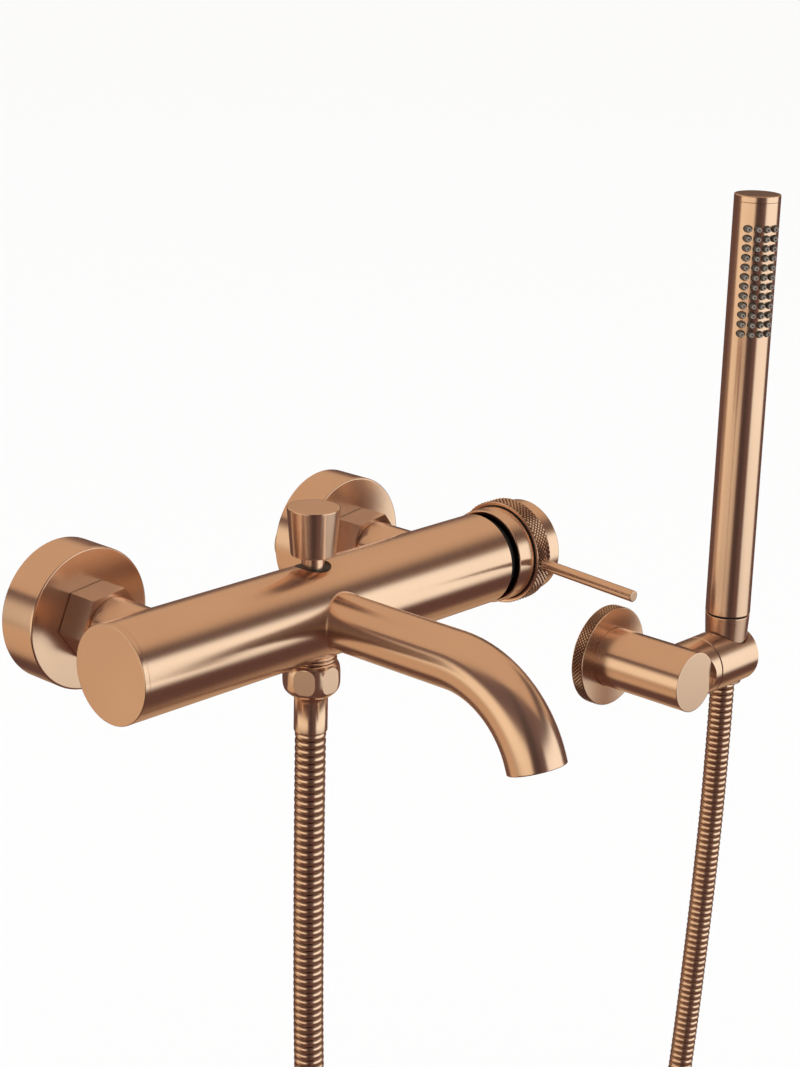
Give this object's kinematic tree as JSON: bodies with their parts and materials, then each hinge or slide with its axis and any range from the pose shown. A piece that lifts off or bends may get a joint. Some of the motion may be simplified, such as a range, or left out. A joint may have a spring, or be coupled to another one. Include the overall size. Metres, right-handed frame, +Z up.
{
  "type": "wall-mounted bath and shower mixer",
  "caption": "Wall-mounted bath and shower mixer: round bar body, end lever, pull-up diverter, bent spout, and a slim hand shower on a hose in a tilting wall bracket.",
  "frame": {"origin": "on the finished wall, midway between the axes of the two G1/2 supply threads", "axes": "+Z up, +X along the body towards the lever (to the right for a user who faces the wall), +Y into the wall"},
  "size_m": [0.4568, 0.2234, 0.7652],
  "materials": {
    "brushed_copper": "fine brushed copper plating",
    "knurled_copper": "knurled copper plating",
    "hose_metal": "ribbed metal hose, copper tone",
    "raw_brass": "plain machined",
    "steel": "plain",
    "black_plastic": "matte",
    "white_plastic": "matte",
    "black_rubber": "matte",
    "grey_silicone": "soft matte"
  },
  "bodies": {
    "mixer": {"mixer_body": "brushed_copper", "body_end_cap": "brushed_copper", "wall_flange_left": "brushed_copper", "wall_flange_right": "brushed_copper", "union_nut_left": "brushed_copper", "union_nut_right": "brushed_copper", "inlet_neck_left": "brushed_copper", "inlet_neck_right": "brushed_copper", "eccentric_union_left": "raw_brass", "eccentric_union_right": "raw_brass", "union_gasket_left": "black_rubber", "union_gasket_right": "black_rubber", "check_valve_left": "white_plastic", "check_valve_right": "white_plastic", "cartridge_housing": "white_plastic", "cartridge_nut": "raw_brass", "cartridge_cover": "black_plastic", "diverter_gland": "raw_brass", "spout": "brushed_copper", "spout_nipple": "raw_brass", "spout_grub_screw": "steel", "aerator_ring": "brushed_copper", "aerator_insert": "white_plastic", "hose_outlet_nipple": "brushed_copper", "hose_washer": "black_rubber", "hose_nut": "brushed_copper", "hose_ferrule_lower": "brushed_copper", "shower_hose": "hose_metal", "bracket_plate": "steel", "bracket_rosette": "knurled_copper", "bracket_arm": "brushed_copper", "arm_grub_screw": "steel", "holder_collar": "brushed_copper", "friction_washer": "black_plastic", "holder_pivot": "steel"},
    "spindle": {"cartridge_rotor": "white_plastic", "cartridge_pivot_pin": "steel"},
    "handle": {"cartridge_stem": "raw_brass", "handle_cup": "brushed_copper", "knurled_ring": "knurled_copper", "lever_rod": "brushed_copper", "handle_screw": "steel", "handle_plug": "brushed_copper"},
    "diverter": {"diverter_knob": "brushed_copper", "diverter_stem": "brushed_copper", "diverter_piston": "raw_brass", "diverter_seal": "black_rubber"},
    "holder": {"handset_holder": "brushed_copper"},
    "hose_end": {"hose_ferrule_upper": "brushed_copper"},
    "handset": {"cone_nut": "brushed_copper", "handset_washer": "black_rubber", "handset_inlet": "raw_brass", "handset_body": "brushed_copper", "handset_waterway": "white_plastic", "spray_nozzles": "grey_silicone", "handset_cap": "brushed_copper"}
  },
  "joints": [
    {"name": "temperature_turn", "type": "hinge", "parent": "mixer", "child": "spindle", "pos_m": [0.0935, -0.0725, 0.008], "axis": [1, 0, 0], "range_deg": [-50, 50]},
    {"name": "flow_lift", "type": "hinge", "parent": "spindle", "child": "handle", "pos_m": [0.088, -0.0725, 0.008], "axis": [0, 0, 1], "range_deg": [0, 10]},
    {"name": "diverter_pull", "type": "slide", "parent": "mixer", "child": "diverter", "axis": [0, 0, 1], "range_m": [0, 0.008], "stiffness_N_per_m": 100, "springref_m": -0.004},
    {"name": "holder_tilt", "type": "hinge", "parent": "mixer", "child": "holder", "pos_m": [0.3275, -0.047, -0.104], "axis": [1, 0, 0], "range_deg": [-6, 30], "deforming": ["shower_hose"]},
    {"name": "handset_lift", "type": "slide", "parent": "holder", "child": "hose_end", "axis": [0, 0, 1], "range_m": [0, 0.032], "deforming": ["shower_hose"]},
    {"name": "handset_swivel", "type": "hinge", "parent": "hose_end", "child": "handset", "pos_m": [0.335, -0.047, -0.104], "axis": [0, 0, 1], "continuous": true}
  ]
}
